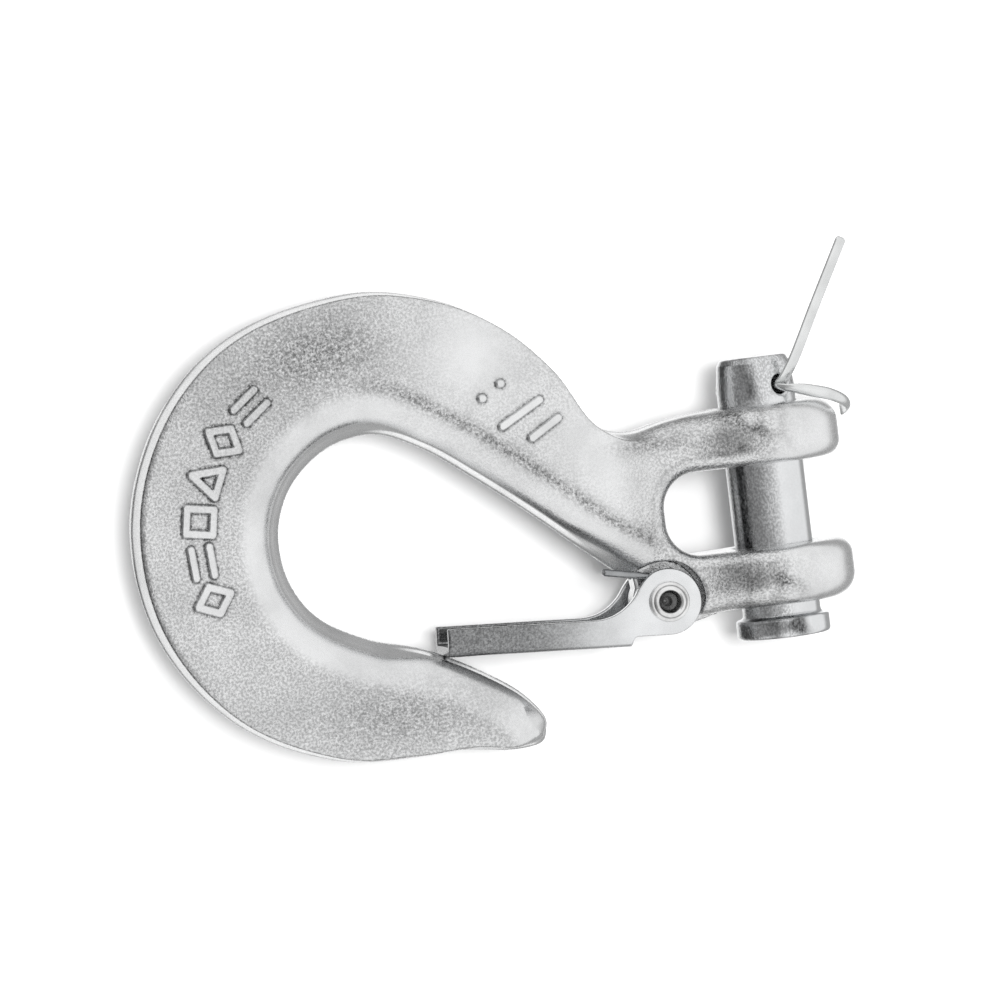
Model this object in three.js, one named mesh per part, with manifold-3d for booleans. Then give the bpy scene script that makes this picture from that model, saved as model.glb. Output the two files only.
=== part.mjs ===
// Clevis slip hook for 1/4 in (7 mm) chain, with a sprung safety latch. Millimetres, lying flat: +X runs
// along the shank from the bowl to the clevis, +Y runs along the clevis pin to its cotter end, +Z is up.
// Z = 0 is the forging's parting plane and the pin's axis lies on the Y axis.
import * as THREE from "three";
import { mergeVertices } from "three/addons/utils/BufferGeometryUtils.js";
import Module from "manifold-3d";

const wasm = await Module();
wasm.setup();
const { Manifold } = wasm;

// ---- driving dimensions
const SLOT_HALF = 5.0; // half the gap between the two ears
const SLOT_END_X = -13.9; // bottom of the U slot
const SLOT_CORNER_R = 4.2;
const EYE_R = 9.4; // round outline of the ears about the pin
const EAR_OUT_Y = 12.1; // outer face of each ear
const EAR_IN_R = 2.0; // edge radius towards the slot
const EAR_OUT_R = 3.0; // edge radius on the outside
const PIN_BORE_R = 4.84;
const BODY_HALF = 6.0; // half thickness of the bowl
const NECK_HALF = 6.3; // half thickness where the shank meets the ears
const BOWL_IN = { x: -47.8, y: 2.0, r: 12.6 };
const BOWL_OUT = { x: -49.8, y: 3.2, r: 28.0 };

const PIN_R = 4.75;
const PIN_TIP_R = 4.2;
const PIN_TIP_Y = 17.9;
const PIN_TAPER_Y = 14.6;
const PIN_HEAD_R = 5.7;
const PIN_HEAD_Y = -13.8; // inner face of the head
const PIN_HEAD_H = 2.4;
const COTTER_HOLE_R = 1.15;
const COTTER_HOLE_Y = 14.3;
const COTTER_TURN = THREE.MathUtils.degToRad(28); // hole direction, from +Z towards +X

const RIVET = { x: -14.8, y: -10.0 }; // latch pivot, along Z
const RECESS = { x: -15.0, y: -9.75, r: 4.65 }; // clearance arc cut in the body round the latch ears
const LUG_R = 3.7;
const LUG_HALF = 1.8;
const LUG_BORE_R = 1.9;

const LATCH_IN_Z = 4.2; // inner faces of the two cheeks
const SHEET_T = 1.2;
const LATCH_EAR_R = 4.0;
const LATCH_BORE_R = 1.85;
const LATCH_TILT = THREE.MathUtils.degToRad(3.95); // web line against the X axis
const LATCH_FOOT = 5.2; // web's outer face below the pivot
const LATCH_DEPTH = 3.4; // height of the cheeks along the straight part
const LATCH_LEN = 27.0; // pivot to free end
const WEB_FROM = 4.6; // pivot to the near end of the web

const RIVET_R = 1.8;
const RIVET_CUP_R = 1.25;
const RIVET_ROLL_R = 2.45;
const RIVET_HEAD_R = 3.0;

const WIRE_R = 0.4; // spring wire
const COIL_R = 2.75;

// ---- helpers
const V2 = (x, y) => new THREE.Vector2(x, y);
const V3 = (x, y, z) => new THREE.Vector3(x, y, z);

function toSolid(geometry) {
  const bare = new THREE.BufferGeometry();
  const flat = geometry.index ? geometry.toNonIndexed() : geometry;
  bare.setAttribute("position", flat.getAttribute("position"));
  const g = mergeVertices(bare, 1e-4);
  const mesh = new wasm.Mesh({
    numProp: 3,
    vertProperties: new Float32Array(g.attributes.position.array),
    triVerts: new Uint32Array(g.index.array),
  });
  return new Manifold(mesh);
}

function toGeometry(solid) {
  const m = solid.getMesh();
  const g = new THREE.BufferGeometry();
  const flat = [];
  for (const v of m.triVerts) {
    for (let k = 0; k < 3; k++) flat.push(m.vertProperties[v * m.numProp + k]);
  }
  g.setAttribute("position", new THREE.Float32BufferAttribute(flat, 3));
  g.computeVertexNormals();
  return g;
}

// A solid between z0 and z1 with the outline of a THREE.Shape.
function slab(shape, z0, z1, segments = 24) {
  const options = { depth: z1 - z0, bevelEnabled: false, curveSegments: segments };
  return toSolid(new THREE.ExtrudeGeometry(shape, options).translate(0, 0, z0));
}

// A solid of revolution about Z from [radius, height] points that start and end on the axis.
function turned(points, segments = 64) {
  const outline = points.map(([r, y]) => V2(r, y));
  return toSolid(new THREE.LatheGeometry(outline, segments).rotateX(Math.PI / 2));
}

// Points of a rounded corner: centre, radius, start and end angles in degrees.
function corner(cx, cy, r, a0, a1, steps = 5) {
  const out = [];
  for (let i = 0; i <= steps; i++) {
    const a = THREE.MathUtils.degToRad(a0 + ((a1 - a0) * i) / steps);
    out.push([cx + r * Math.cos(a), cy + r * Math.sin(a)]);
  }
  return out;
}

// A closed body through rings of points, each ring with the same number of points.
function loft(rings) {
  const n = rings[0].length;
  const position = rings.flat().flatMap((p) => [p.x, p.y, p.z]);
  const index = [];
  for (let i = 0; i + 1 < rings.length; i++) {
    for (let j = 0; j < n; j++) {
      const a = i * n + j;
      const b = i * n + ((j + 1) % n);
      index.push(a, b, a + n, b, b + n, a + n);
    }
  }
  for (const [start, flip] of [[0, true], [(rings.length - 1) * n, false]]) {
    for (let j = 1; j + 1 < n; j++) {
      const tri = [start, start + j, start + j + 1];
      index.push(...(flip ? tri.reverse() : tri));
    }
  }
  const g = new THREE.BufferGeometry();
  g.setAttribute("position", new THREE.Float32BufferAttribute(position, 3));
  g.setIndex(index);
  const solid = toSolid(g);
  return solid.volume() < 0 ? toSolid(mirrored(g)) : solid;
}

function mirrored(g) {
  const i = g.index.array;
  for (let k = 0; k < i.length; k += 3) [i[k], i[k + 1]] = [i[k + 1], i[k]];
  return g;
}

// ---- hook body: bowl and shank
// Matching points on the inner and the outer edge, from the tip round the bowl to the shank.
const deg = THREE.MathUtils.degToRad;
const onArc = (arc, a) => V3(arc.x + arc.r * Math.cos(deg(a)), arc.y + arc.r * Math.sin(deg(a)), 0);
const innerEdge = new THREE.CatmullRomCurve3([
  V3(-30.5, -23.3, 0), V3(-30.9, -21.9, 0), V3(-33.3, -18.9, 0), V3(-38.4, -15.3, 0),
  V3(-44.4, -12.3, 0), onArc(BOWL_IN, -105), onArc(BOWL_IN, -137), onArc(BOWL_IN, -165),
  onArc(BOWL_IN, -193), onArc(BOWL_IN, -220), onArc(BOWL_IN, -247), V3(-47.0, 14.7, 0),
  V3(-41.4, 12.5, 0), V3(-35.2, 7.9, 0), V3(-28.6, 2.7, 0), V3(-22.6, -2.3, 0),
  V3(-17.4, -6.5, 0),
], false, "centripetal");
const outerEdge = new THREE.CatmullRomCurve3([
  V3(-30.5, -23.8, 0), V3(-31.3, -24.9, 0), V3(-35.0, -25.4, 0), V3(-41.0, -24.7, 0),
  V3(-47.4, -24.8, 0), onArc(BOWL_OUT, -104), onArc(BOWL_OUT, -132), onArc(BOWL_OUT, -161),
  onArc(BOWL_OUT, -189), onArc(BOWL_OUT, -216), onArc(BOWL_OUT, -242), V3(-48.0, 31.2, 0),
  V3(-38.4, 29.4, 0), V3(-30.6, 25.1, 0), V3(-25.1, 19.3, 0), V3(-20.8, 12.3, 0),
  V3(-15.6, 10.2, 0),
], false, "centripetal");

// Half height of the section at x from the inner edge, for a section w wide: a long bearing bevel inside,
// a flat face, and a short round outside.
function halfHeight(x, w, h) {
  const inside = Math.min(8, 0.6 * w);
  const outside = Math.min(2.4, 0.35 * w);
  const low = h * Math.min(1, Math.sqrt(w / 6));
  const a = x < inside ? Math.pow(1 - Math.pow(1 - x / inside, 2), 0.55) : 1;
  const y = w - x;
  const b = y < outside ? Math.pow(1 - Math.pow(1 - y / outside, 2.2), 1 / 2.2) : 1;
  return low * Math.min(a, b);
}

const SECTION = [0, 0.02, 0.05, 0.1, 0.17, 0.27, 0.4, 0.55, 0.72, 0.87, 0.93, 0.965, 0.988, 1];
function hookRing(t) {
  const a = innerEdge.getPoint(t);
  const b = outerEdge.getPoint(t);
  const w = a.distanceTo(b);
  const h = THREE.MathUtils.lerp(4.6, BODY_HALF, THREE.MathUtils.smoothstep(t, 0, 0.25));
  const top = SECTION.map((s) => {
    const p = a.clone().lerp(b, s);
    return p.setZ(s === 0 || s === 1 ? 0 : halfHeight(s * w, w, h));
  });
  const under = top.slice(1, -1).reverse().map((p) => V3(p.x, p.y, -p.z));
  return [...top, ...under];
}
const hookRings = [];
const STEPS = 76;
for (let i = 0; i <= STEPS; i++) hookRings.push(hookRing(i / STEPS));
const bowl = loft(hookRings);

// ---- hook body: block behind the ears, its height rising in a concave sweep into the round of the ears
function blockHalf(x) {
  const round = Math.abs(x) < EYE_R ? Math.sqrt(EYE_R * EYE_R - x * x) : 0;
  const k = 1.3; // how softly the neck runs into the round
  const d = (round - NECK_HALF) / k;
  return NECK_HALF + k * Math.log1p(Math.exp(d)) * (d > 8 ? 1 : 1 / (1 + 0.02 * Math.exp(-d * d)));
}
const ARM_X = SLOT_END_X + SLOT_CORNER_R; // where the slot walls run straight
const blockTop = new THREE.CatmullRomCurve3([
  V3(-22.5, 8.2, 0), V3(-19.0, 10.1, 0), V3(-16.5, 10.5, 0), V3(-12.0, 11.5, 0),
  V3(-6.0, EAR_OUT_Y, 0), V3(0, EAR_OUT_Y, 0),
], false, "centripetal");
const blockFoot = new THREE.CatmullRomCurve3([
  V3(-22.5, -1.5, 0), V3(-19.0, -4.4, 0), V3(-16.5, -7.0, 0), V3(-12.0, -11.9, 0),
  V3(-6.0, -EAR_OUT_Y, 0), V3(0, -EAR_OUT_Y, 0),
], false, "centripetal");
// A rounded box section at x, between two heights, with its own edge radius on each side.
function boxRing(x, y0, y1, r0, r1) {
  const h = Math.min(blockHalf(x), EYE_R);
  const c = (cy, cz, r, a) => corner(cy, cz, r, a, a + 90).map(([y, z]) => V3(x, y, z));
  return [
    ...c(y1 - r1, h - r1, r1, 0), ...c(y0 + r0, h - r0, r0, 90),
    ...c(y0 + r0, r0 - h, r0, 180), ...c(y1 - r1, r1 - h, r1, 270),
  ];
}
const along01 = (n) => Array.from({ length: n + 1 }, (_, i) => i / n);
const blockEnd = 0.62;
const block = loft(along01(16).map((f) => {
  const hi = blockTop.getPoint(f * blockEnd);
  return boxRing(hi.x, blockFoot.getPoint(f * blockEnd).y, hi.y, EAR_OUT_R, EAR_OUT_R);
}));
const arms = [1, -1].map((side) => loft(along01(12).map((f) => {
  const edge = (side > 0 ? blockTop : blockFoot).getPoint(0.5 + 0.5 * f);
  const y = [SLOT_HALF * side, edge.y].sort((p, q) => p - q);
  const r = side > 0 ? [EAR_IN_R, EAR_OUT_R] : [EAR_OUT_R, EAR_IN_R];
  return boxRing(edge.x, y[0], y[1], r[0], r[1]);
})));

// ---- hook body: round ends of the ears
const ear = turned([
  [0, SLOT_HALF],
  ...corner(EYE_R - EAR_IN_R, SLOT_HALF + EAR_IN_R, EAR_IN_R, -90, 0),
  ...corner(EYE_R - EAR_OUT_R, EAR_OUT_Y - EAR_OUT_R, EAR_OUT_R, 0, 90),
  [0, EAR_OUT_Y],
], 72);
const earUpper = ear.rotate([-90, 0, 0]);
const earLower = ear.rotate([90, 0, 0]);

// ---- hook body: latch lug, and the recess that lets the latch cheeks in on both sides of it
const lugShape = new THREE.Shape();
lugShape.moveTo(-8.0, -12.3);
lugShape.lineTo(-11.0, -13.0);
lugShape.absarc(RIVET.x, RIVET.y, LUG_R, deg(-60), deg(150), true);
lugShape.lineTo(-18.2, -6.6);
lugShape.lineTo(-12.0, -3.0);
lugShape.lineTo(-6.5, -8.0);
const lug = slab(lugShape, -LUG_HALF, LUG_HALF);

const recessShape = new THREE.Shape();
recessShape.moveTo(-10.8, -13.3);
recessShape.absarc(RECESS.x, RECESS.y, RECESS.r, deg(-40), deg(141), false);
recessShape.lineTo(-24.0, -9.0);
recessShape.lineTo(-24.0, -18.0);
recessShape.lineTo(-10.8, -18.0);
const recess = [slab(recessShape, LUG_HALF, 12), slab(recessShape, -12, -LUG_HALF)];
const lugTrim = new THREE.Shape(); // outside of the lug, right through
lugTrim.moveTo(-11.0, -13.0);
lugTrim.absarc(RIVET.x, RIVET.y, LUG_R, deg(-60), deg(150), true);
lugTrim.lineTo(-18.4, -7.0);
lugTrim.lineTo(-24.0, -9.0);
lugTrim.lineTo(-24.0, -18.0);
lugTrim.lineTo(-11.0, -18.0);

// ---- hook body: slot and bores
// The slot outline, widened by grow, from its round end to x1.
function slotOutline(grow, x1) {
  const w = SLOT_HALF + grow;
  const r = SLOT_CORNER_R + grow;
  const shape = new THREE.Shape();
  shape.moveTo(x1, -w);
  shape.lineTo(x1, w);
  shape.lineTo(ARM_X, w);
  shape.absarc(ARM_X, w - r, r, deg(90), deg(180), false);
  shape.absarc(ARM_X, r - w, r, deg(180), deg(270), false);
  return shape;
}
const slot = [slab(slotOutline(0, EYE_R + 4), -14, 14, 12)];
const FLARES = 4; // the edge of the round end, stepped
for (let i = 0; i < FLARES; i++) {
  const a = (Math.PI / 2) * ((i + 0.5) / FLARES);
  const grow = EAR_IN_R * (1 - Math.cos(a));
  const z = NECK_HALF - EAR_IN_R * (1 - Math.sin(a));
  slot.push(slab(slotOutline(grow, ARM_X + 0.01), z, 8, 12));
  slot.push(slab(slotOutline(grow, ARM_X + 0.01), -8, -z, 12));
}
const pinBore = turned([[0, -20], [PIN_BORE_R, -20], [PIN_BORE_R, 20], [0, 20]]).rotate([90, 0, 0]);
const lugBore = turned([[0, -9], [LUG_BORE_R, -9], [LUG_BORE_R, 9], [0, 9]], 40)
  .translate([RIVET.x, RIVET.y, 0]);

const hookBody = Manifold.union([bowl, block, ...arms, earUpper, earLower])
  .subtract(Manifold.union([...recess, slab(lugTrim, -12, 12)]))
  .add(lug)
  .subtract(Manifold.union([...slot, pinBore, lugBore]));

// ---- clevis pin
const pinTurned = turned([
  [0, PIN_HEAD_Y - PIN_HEAD_H],
  ...corner(PIN_HEAD_R - 0.5, PIN_HEAD_Y - PIN_HEAD_H + 0.5, 0.5, -90, 0, 3),
  ...corner(PIN_HEAD_R - 0.4, PIN_HEAD_Y - 0.4, 0.4, 0, 90, 3),
  ...corner(PIN_R + 0.7, PIN_HEAD_Y + 0.7, 0.7, -90, -180, 4),
  [PIN_R, PIN_TAPER_Y],
  [PIN_TIP_R + 0.15, PIN_TIP_Y - 0.9],
  ...corner(PIN_TIP_R - 0.6, PIN_TIP_Y - 0.6, 0.6, 15, 90, 3),
  [0, PIN_TIP_Y],
]).rotate([-90, 0, 0]);
const cotterBore = turned([
  [0, -8], [COTTER_HOLE_R + 0.5, -8], [COTTER_HOLE_R + 0.5, -4.7], [COTTER_HOLE_R, -4.2],
  [COTTER_HOLE_R, 4.2], [COTTER_HOLE_R + 0.5, 4.7], [COTTER_HOLE_R + 0.5, 8], [0, 8],
], 32).rotate([0, THREE.MathUtils.radToDeg(COTTER_TURN), 0]).translate([0, COTTER_HOLE_Y, 0]);
const clevisPin = pinTurned.subtract(cotterBore);

// ---- cotter pin: half-round wire, eye under the pin, both legs through the hole and spread
const LEG_T = 0.76; // thickness of one leg
const LEG_W = 1.5; // its flat side
const outward = V3(Math.sin(COTTER_TURN), 0, Math.cos(COTTER_TURN));
const longLeg = V3(0.46, 0.88, 0.12).normalize(); // the leg that stands away from the ear
const across = longLeg.clone().cross(outward).normalize();
const spread = outward.clone().cross(across);
const hub = V3(0, COTTER_HOLE_Y, 0);
const onCotter = (o, s) => hub.clone().addScaledVector(outward, o).addScaledVector(spread, s);
const HALF = LEG_T / 2 + 0.05;
const EYE_OUT = -6.7; // centre of the eye along the hole
const EYE_LOOP = 1.15;
const eye = [];
for (let a = -50; a >= -310; a -= 26) {
  eye.push(onCotter(EYE_OUT + EYE_LOOP * Math.cos(deg(a)), -EYE_LOOP * Math.sin(deg(a))));
}
const legStart = onCotter(5.2, HALF).addScaledVector(longLeg, 1.0);
const cotterLine = [
  legStart.clone().addScaledVector(longLeg, 17.6), legStart.clone().addScaledVector(longLeg, 9.0),
  legStart.clone().addScaledVector(longLeg, 0.8), onCotter(4.5, HALF), onCotter(1.5, HALF),
  onCotter(-2.0, HALF), onCotter(-4.9, HALF), ...eye, onCotter(-4.9, -HALF),
  onCotter(-2.0, -HALF), onCotter(1.5, -HALF), onCotter(4.4, -HALF),
  V3(3.4, 13.55, 5.2), V3(5.5, 13.05, 5.2), V3(8.2, 12.65, 4.4), V3(10.5, 11.9, 2.2),
  V3(11.0, 11.3, -1.2), V3(10.5, 11.0, -4.4),
];
const cotterCurve = new THREE.CatmullRomCurve3(cotterLine, false, "centripetal");

// Sweeps a half-round section, its round side away from the other leg, without twisting it.
function halfRoundSweep(curve, steps, width, thick, startSide) {
  const rings = [];
  const side = startSide.clone();
  for (let i = 0; i <= steps; i++) {
    const p = curve.getPointAt(i / steps);
    const t = curve.getTangentAt(i / steps);
    side.addScaledVector(t, -side.dot(t)).normalize();
    const out = side.clone().cross(t);
    const ring = [];
    for (let k = 0; k <= 6; k++) {
      const a = (Math.PI * k) / 6;
      ring.push(p.clone().addScaledVector(side, (width / 2) * Math.cos(a))
        .addScaledVector(out, thick * Math.sin(a) - thick / 2));
    }
    rings.push(ring);
  }
  return loft(rings);
}
const cotter = halfRoundSweep(cotterCurve, 110, LEG_W, LEG_T, across);

// ---- latch: pressed channel, open towards the bowl, with a round ear at the pivot on each cheek
// Local frame: x runs from the pivot towards the free end, y towards the open side, before tilting.
const cheek = new THREE.Shape();
const rimY = LATCH_DEPTH - LATCH_FOOT; // open edge of the straight part
cheek.moveTo(LATCH_LEN, -LATCH_FOOT);
cheek.lineTo(LATCH_LEN, rimY);
cheek.lineTo(9.4, rimY);
cheek.quadraticCurveTo(6.0, rimY, 4.1, 0.9);
cheek.quadraticCurveTo(3.2, 2.6, LATCH_EAR_R * Math.cos(deg(62)), LATCH_EAR_R * Math.sin(deg(62)));
cheek.absarc(0, 0, LATCH_EAR_R, deg(62), deg(270), false);
cheek.lineTo(WEB_FROM - 0.7, -LATCH_EAR_R);
cheek.quadraticCurveTo(WEB_FROM, -LATCH_EAR_R, WEB_FROM, -LATCH_FOOT);
const channelHalf = LATCH_IN_Z + SHEET_T;
const block0 = slab(cheek, -channelHalf, channelHalf, 10);
const hollowShape = new THREE.Shape();
hollowShape.moveTo(LATCH_LEN + 1, SHEET_T - LATCH_FOOT);
hollowShape.lineTo(LATCH_LEN + 1, 8);
hollowShape.lineTo(-8, 8);
hollowShape.lineTo(-8, -8);
hollowShape.lineTo(WEB_FROM - 0.01, -8);
hollowShape.lineTo(WEB_FROM - 0.01, SHEET_T - LATCH_FOOT);
const hollow = slab(hollowShape, -LATCH_IN_Z, LATCH_IN_Z);
// outside bend radius along the two long corners of the channel
const BEND_R = 1.5;
const bendOff = [-1, 1].map((s) => {
  const shape = new THREE.Shape(); // in (y, z)
  shape.moveTo(-LATCH_FOOT - 1, s * (channelHalf + 1));
  shape.lineTo(-LATCH_FOOT + BEND_R, s * (channelHalf + 1));
  shape.lineTo(-LATCH_FOOT + BEND_R, s * channelHalf);
  shape.absarc(-LATCH_FOOT + BEND_R, s * (channelHalf - BEND_R), BEND_R,
    deg(90 * s), deg(180), s > 0 ? false : true);
  shape.lineTo(-LATCH_FOOT - 1, s * (channelHalf - BEND_R));
  const g = new THREE.ExtrudeGeometry(shape, { depth: 40, bevelEnabled: false, curveSegments: 6 });
  g.applyMatrix4(new THREE.Matrix4().set(0, 0, 1, WEB_FROM, 1, 0, 0, 0, 0, 1, 0, 0, 0, 0, 0, 1));
  return toSolid(g);
});
const latchBore = turned([[0, -9], [LATCH_BORE_R, -9], [LATCH_BORE_R, 9], [0, 9]], 40);
const latch = block0.subtract(Manifold.union([hollow, latchBore, ...bendOff]))
  .mirror([1, 0, 0])
  .rotate([0, 0, -THREE.MathUtils.radToDeg(LATCH_TILT)])
  .translate([RIVET.x, RIVET.y, 0]);

// ---- rivet: tubular, factory head underneath, rolled rim on top
const headZ = channelHalf + 0.04;
const rivet = turned([
  [0, -headZ - 1.0], [RIVET_HEAD_R - 1.4, -headZ - 0.95], [RIVET_HEAD_R - 0.4, -headZ - 0.6],
  [RIVET_HEAD_R, -headZ - 0.2], [RIVET_HEAD_R, -headZ],
  [RIVET_R, -headZ], [RIVET_R, headZ],
  [RIVET_ROLL_R - 0.25, headZ], [RIVET_ROLL_R, headZ + 0.3], [RIVET_ROLL_R - 0.1, headZ + 0.65],
  [RIVET_ROLL_R - 0.45, headZ + 0.85], [RIVET_CUP_R + 0.45, headZ + 0.75],
  [RIVET_CUP_R + 0.1, headZ + 0.35], [RIVET_CUP_R, headZ - 0.3], [RIVET_CUP_R, headZ - 3.2],
  [0, headZ - 3.6],
], 48).translate([RIVET.x, RIVET.y, 0]);

// ---- spring: one coil on each side of the lug, free ends on the shank, a bridge on the latch web
const legA = V2(-7.3, 4.4); // free end, from the pivot
const aDist = legA.length();
const aTan = Math.atan2(legA.y, legA.x) - Math.acos(COIL_R / aDist); // tangent point on the coil
const bTan = deg(-100); // where the bridge legs leave the coil
const bLen = 9.0;
const Z_OUT = 3.62;
const Z_IN = 2.38;
const half = [V3(legA.x, legA.y, Z_OUT)];
const onCoil = (a, z, r = COIL_R) => V3(r * Math.cos(a), r * Math.sin(a), z);
half.push(V3(legA.x, legA.y, Z_OUT).lerp(onCoil(aTan, Z_OUT), 0.5));
const sweep = aTan - bTan + 2 * Math.PI; // turning clockwise seen from above, one extra turn
const COIL_STEPS = 22;
for (let i = 0; i <= COIL_STEPS; i++) {
  const f = i / COIL_STEPS;
  half.push(onCoil(aTan - sweep * f, THREE.MathUtils.lerp(Z_OUT, Z_IN, f)));
}
const legDir = V3(Math.sin(bTan), -Math.cos(bTan), 0);
const bEnd = onCoil(bTan, Z_IN).addScaledVector(legDir, bLen);
half.push(onCoil(bTan, Z_IN).addScaledVector(legDir, bLen * 0.5), bEnd);
const bend = bEnd.clone().addScaledVector(legDir, 0.9).setZ(Z_IN - 1.1);
half.push(bend);
const back = half.map((p) => V3(p.x, p.y, -p.z)).reverse();
const springCurve = new THREE.CatmullRomCurve3(
  [...half, ...back].map((p) => p.add(V3(RIVET.x, RIVET.y, 0))), false, "centripetal");
const wire = new THREE.Shape().absarc(0, 0, WIRE_R, 0, Math.PI * 2, false);
const springGeometry = new THREE.ExtrudeGeometry(wire, {
  steps: 190, curveSegments: 4, extrudePath: springCurve, bevelEnabled: false,
});

// ---- assembly
const steel = (color, roughness, metalness) =>
  new THREE.MeshStandardMaterial({ color, roughness, metalness });
const part = new THREE.Group();
part.name = "clevis_slip_hook";
const pieces = [
  ["hook_body", hookBody, steel(0xb9bdc0, 0.48, 0.9)],
  ["clevis_pin", clevisPin, steel(0xc8cbce, 0.3, 0.95)],
  ["cotter_pin", cotter, steel(0xcfd2d4, 0.35, 0.95)],
  ["safety_latch", latch, steel(0xbfc3c6, 0.38, 0.92)],
  ["latch_rivet", rivet, steel(0xc9ccce, 0.32, 0.95)],
  ["latch_spring", toSolid(springGeometry), steel(0x6f7276, 0.4, 0.9)],
];
for (const [name, solid, material] of pieces) {
  const mesh = new THREE.Mesh(toGeometry(solid), material);
  mesh.name = name;
  part.add(mesh);
}

// The part's own frame: the middle of its footprint, resting on Z = 0.
const box = new THREE.Box3().setFromObject(part);
const middle = box.getCenter(new THREE.Vector3());
part.position.set(-middle.x, -middle.y, -box.min.z);

export default part;
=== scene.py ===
"""Zinc plated clevis slip hook with a sprung latch, lying flat on a pale table.

Shapes are written in millimetres in the hook's own frame: +X along the shank to the clevis, +Y along the
clevis pin to its cotter end, Z = 0 on the forging's parting plane, with the pin's axis on the Y axis.
"""

import math

import bpy
import bmesh
import numpy as np
from mathutils import Matrix, Vector


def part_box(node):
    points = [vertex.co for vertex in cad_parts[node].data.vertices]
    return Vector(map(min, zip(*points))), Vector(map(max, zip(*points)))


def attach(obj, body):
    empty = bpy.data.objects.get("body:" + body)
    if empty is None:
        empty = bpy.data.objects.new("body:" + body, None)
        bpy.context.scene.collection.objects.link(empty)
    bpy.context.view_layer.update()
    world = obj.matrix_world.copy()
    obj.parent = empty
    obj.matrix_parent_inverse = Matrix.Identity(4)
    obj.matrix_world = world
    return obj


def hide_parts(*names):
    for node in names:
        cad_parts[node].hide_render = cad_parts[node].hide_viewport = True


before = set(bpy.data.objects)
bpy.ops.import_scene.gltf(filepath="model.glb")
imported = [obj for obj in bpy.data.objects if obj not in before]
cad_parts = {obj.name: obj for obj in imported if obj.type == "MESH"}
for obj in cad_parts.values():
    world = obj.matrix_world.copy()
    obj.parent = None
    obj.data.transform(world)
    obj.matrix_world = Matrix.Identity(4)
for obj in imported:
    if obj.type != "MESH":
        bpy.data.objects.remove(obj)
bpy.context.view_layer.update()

MM = 0.001
pin_low, pin_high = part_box("clevis_pin")
PIN_HEAD_END = 16.2  # from the middle of the clevis to the outside of the pin's head
ORIGIN = np.array([
    (pin_low.x + pin_high.x) / 2 / MM, pin_low.y / MM + PIN_HEAD_END, (pin_low.z + pin_high.z) / 2 / MM,
])


# ---------------------------------------------------------------- curves
def catmull(points, per=12):
    """Centripetal Catmull-Rom curve through the points."""
    p = np.array(points, float)
    p = np.vstack([2 * p[0] - p[1], p, 2 * p[-1] - p[-2]])
    out = []
    for a, b, c, d in zip(p, p[1:], p[2:], p[3:]):
        k = [0.0]
        for q, r in ((a, b), (b, c), (c, d)):
            k.append(k[-1] + max(np.linalg.norm(r - q), 1e-6) ** 0.5)
        t = np.linspace(k[1], k[2], per, endpoint=False)[:, None]
        a1 = (k[1] - t) / (k[1] - k[0]) * a + (t - k[0]) / (k[1] - k[0]) * b
        a2 = (k[2] - t) / (k[2] - k[1]) * b + (t - k[1]) / (k[2] - k[1]) * c
        a3 = (k[3] - t) / (k[3] - k[2]) * c + (t - k[2]) / (k[3] - k[2]) * d
        b1 = (k[2] - t) / (k[2] - k[0]) * a1 + (t - k[0]) / (k[2] - k[0]) * a2
        b2 = (k[3] - t) / (k[3] - k[1]) * a2 + (t - k[1]) / (k[3] - k[1]) * a3
        out.append((k[2] - t) / (k[2] - k[1]) * b1 + (t - k[1]) / (k[2] - k[1]) * b2)
    return np.vstack(out + [p[-2:-1]])


def arc(cx, cy, r, a0, a1, n=24):
    a = np.radians(np.linspace(a0, a1, n))
    return np.stack([cx + r * np.cos(a), cy + r * np.sin(a)], 1)


def on_arc(circle, *angles):
    """Points of a circle (x, y, radius) at some angles in degrees."""
    x, y, r = circle
    return [(x + r * math.cos(math.radians(a)), y + r * math.sin(math.radians(a))) for a in angles]


def bow(p0, p1, p2, n=14):
    """A quadratic Bezier curve."""
    t = np.linspace(0, 1, n)[:, None]
    return (1 - t) ** 2 * np.array(p0) + 2 * t * (1 - t) * np.array(p1) + t * t * np.array(p2)


# ---------------------------------------------------------------- distance fields
def line_distance(p, line):
    """Distance from points p to an open polyline."""
    best = np.full(len(p), 1e18)
    for a, b in zip(line, line[1:]):
        ab = b - a
        t = np.clip(((p - a) @ ab) / max(ab @ ab, 1e-12), 0, 1)
        d = p - a - t[:, None] * ab
        best = np.minimum(best, (d * d).sum(1))
    return np.sqrt(best)


def inside(p, outline):
    hit = np.zeros(len(p), bool)
    for (x0, y0), (x1, y1) in zip(outline, np.roll(outline, -1, 0)):
        if y0 == y1:
            continue
        crosses = (p[:, 1] > min(y0, y1)) & (p[:, 1] <= max(y0, y1))
        hit ^= crosses & (p[:, 0] < x0 + (p[:, 1] - y0) * (x1 - x0) / (y1 - y0))
    return hit


def outline_distance(p, outline):
    """Signed distance to a closed outline, negative inside."""
    outline = np.array(outline, float)
    d = line_distance(p, np.vstack([outline, outline[:1]]))
    return np.where(inside(p, outline), -d, d)


def cubic_weights(t):
    """Catmull-Rom weights of the four grid values round a place t of the way along the middle step."""
    return (((2 - t) * t - 1) * t / 2, ((3 * t - 5) * t * t + 2) / 2,
            ((4 - 3 * t) * t + 1) * t / 2, (t - 1) * t * t / 2)


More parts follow.
